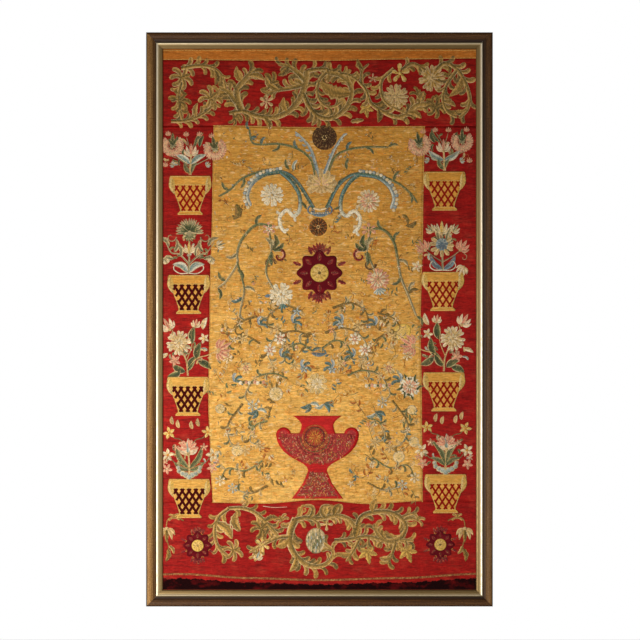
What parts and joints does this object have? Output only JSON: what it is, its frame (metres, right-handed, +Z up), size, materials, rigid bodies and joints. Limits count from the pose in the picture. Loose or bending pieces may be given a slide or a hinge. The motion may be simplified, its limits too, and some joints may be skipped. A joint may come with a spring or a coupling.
{
  "type": "framed silk wall hanging",
  "caption": "Tall silk hanging with a gold field, red borders, applied baskets, urn and scrolling embroidery, in a brown moulded frame with a gilt slip.",
  "frame": {"origin": "centre of the back of the frame's top rail, where the frame rests on the wall", "axes": "+Z up along the tall sides, the face of the cloth towards -Y, +Y into the wall, +X to the right as seen from the front"},
  "size_m": [1.386, 0.04, 2.296],
  "materials": {
    "frame_wood": "satin",
    "slip_gilt": "satin",
    "gold_silk": "satin",
    "red_silk": "satin",
    "amber_silk": "satin",
    "braid_silk": "matte",
    "hem_velvet": "matte",
    "basket_silk": "satin",
    "lattice_velvet": "matte",
    "urn_satin": "satin",
    "medallion_velvet": "matte",
    "boss_silk": "satin",
    "roundel_silk": "matte",
    "scroll_silk": "satin",
    "bouquet_silk": "satin",
    "spray_silk": "satin"
  },
  "bodies": {
    "root": {"basket_left_1": "basket_silk", "basket_left_2": "basket_silk", "basket_left_3": "basket_silk", "basket_left_4": "basket_silk", "basket_right_1": "basket_silk", "basket_right_2": "basket_silk", "basket_right_3": "basket_silk", "basket_right_4": "basket_silk", "bloom_left": "bouquet_silk", "bloom_right": "bouquet_silk", "border_bottom": "red_silk", "border_left": "red_silk", "border_right": "red_silk", "border_top": "red_silk", "bouquet_left_1": "bouquet_silk", "bouquet_left_2": "bouquet_silk", "bouquet_left_3": "bouquet_silk", "bouquet_left_4": "bouquet_silk", "bouquet_right_1": "bouquet_silk", "bouquet_right_2": "bouquet_silk", "bouquet_right_3": "bouquet_silk", "bouquet_right_4": "bouquet_silk", "field_panel": "gold_silk", "frame_bottom": "frame_wood", "frame_left": "frame_wood", "frame_right": "frame_wood", "frame_top": "frame_wood", "heading_band": "amber_silk", "hem_band": "hem_velvet", "hem_braid": "braid_silk", "lattice_left_1": "lattice_velvet", "lattice_left_2": "lattice_velvet", "lattice_left_3": "lattice_velvet", "lattice_left_4": "lattice_velvet", "lattice_right_1": "lattice_velvet", "lattice_right_2": "lattice_velvet", "lattice_right_3": "lattice_velvet", "lattice_right_4": "lattice_velvet", "medallion_center": "medallion_velvet", "medallion_center_boss": "boss_silk", "medallion_left": "medallion_velvet", "medallion_left_boss": "boss_silk", "medallion_right": "medallion_velvet", "medallion_right_boss": "boss_silk", "palmette": "spray_silk", "roundel_lower": "roundel_silk", "roundel_upper": "roundel_silk", "scroll_bottom": "scroll_silk", "scroll_top": "scroll_silk", "slip_bottom": "slip_gilt", "slip_left": "slip_gilt", "slip_right": "slip_gilt", "slip_top": "slip_gilt", "spray_left": "spray_silk", "spray_main": "spray_silk", "spray_right": "spray_silk", "urn": "urn_satin"}
  },
  "joints": []
}
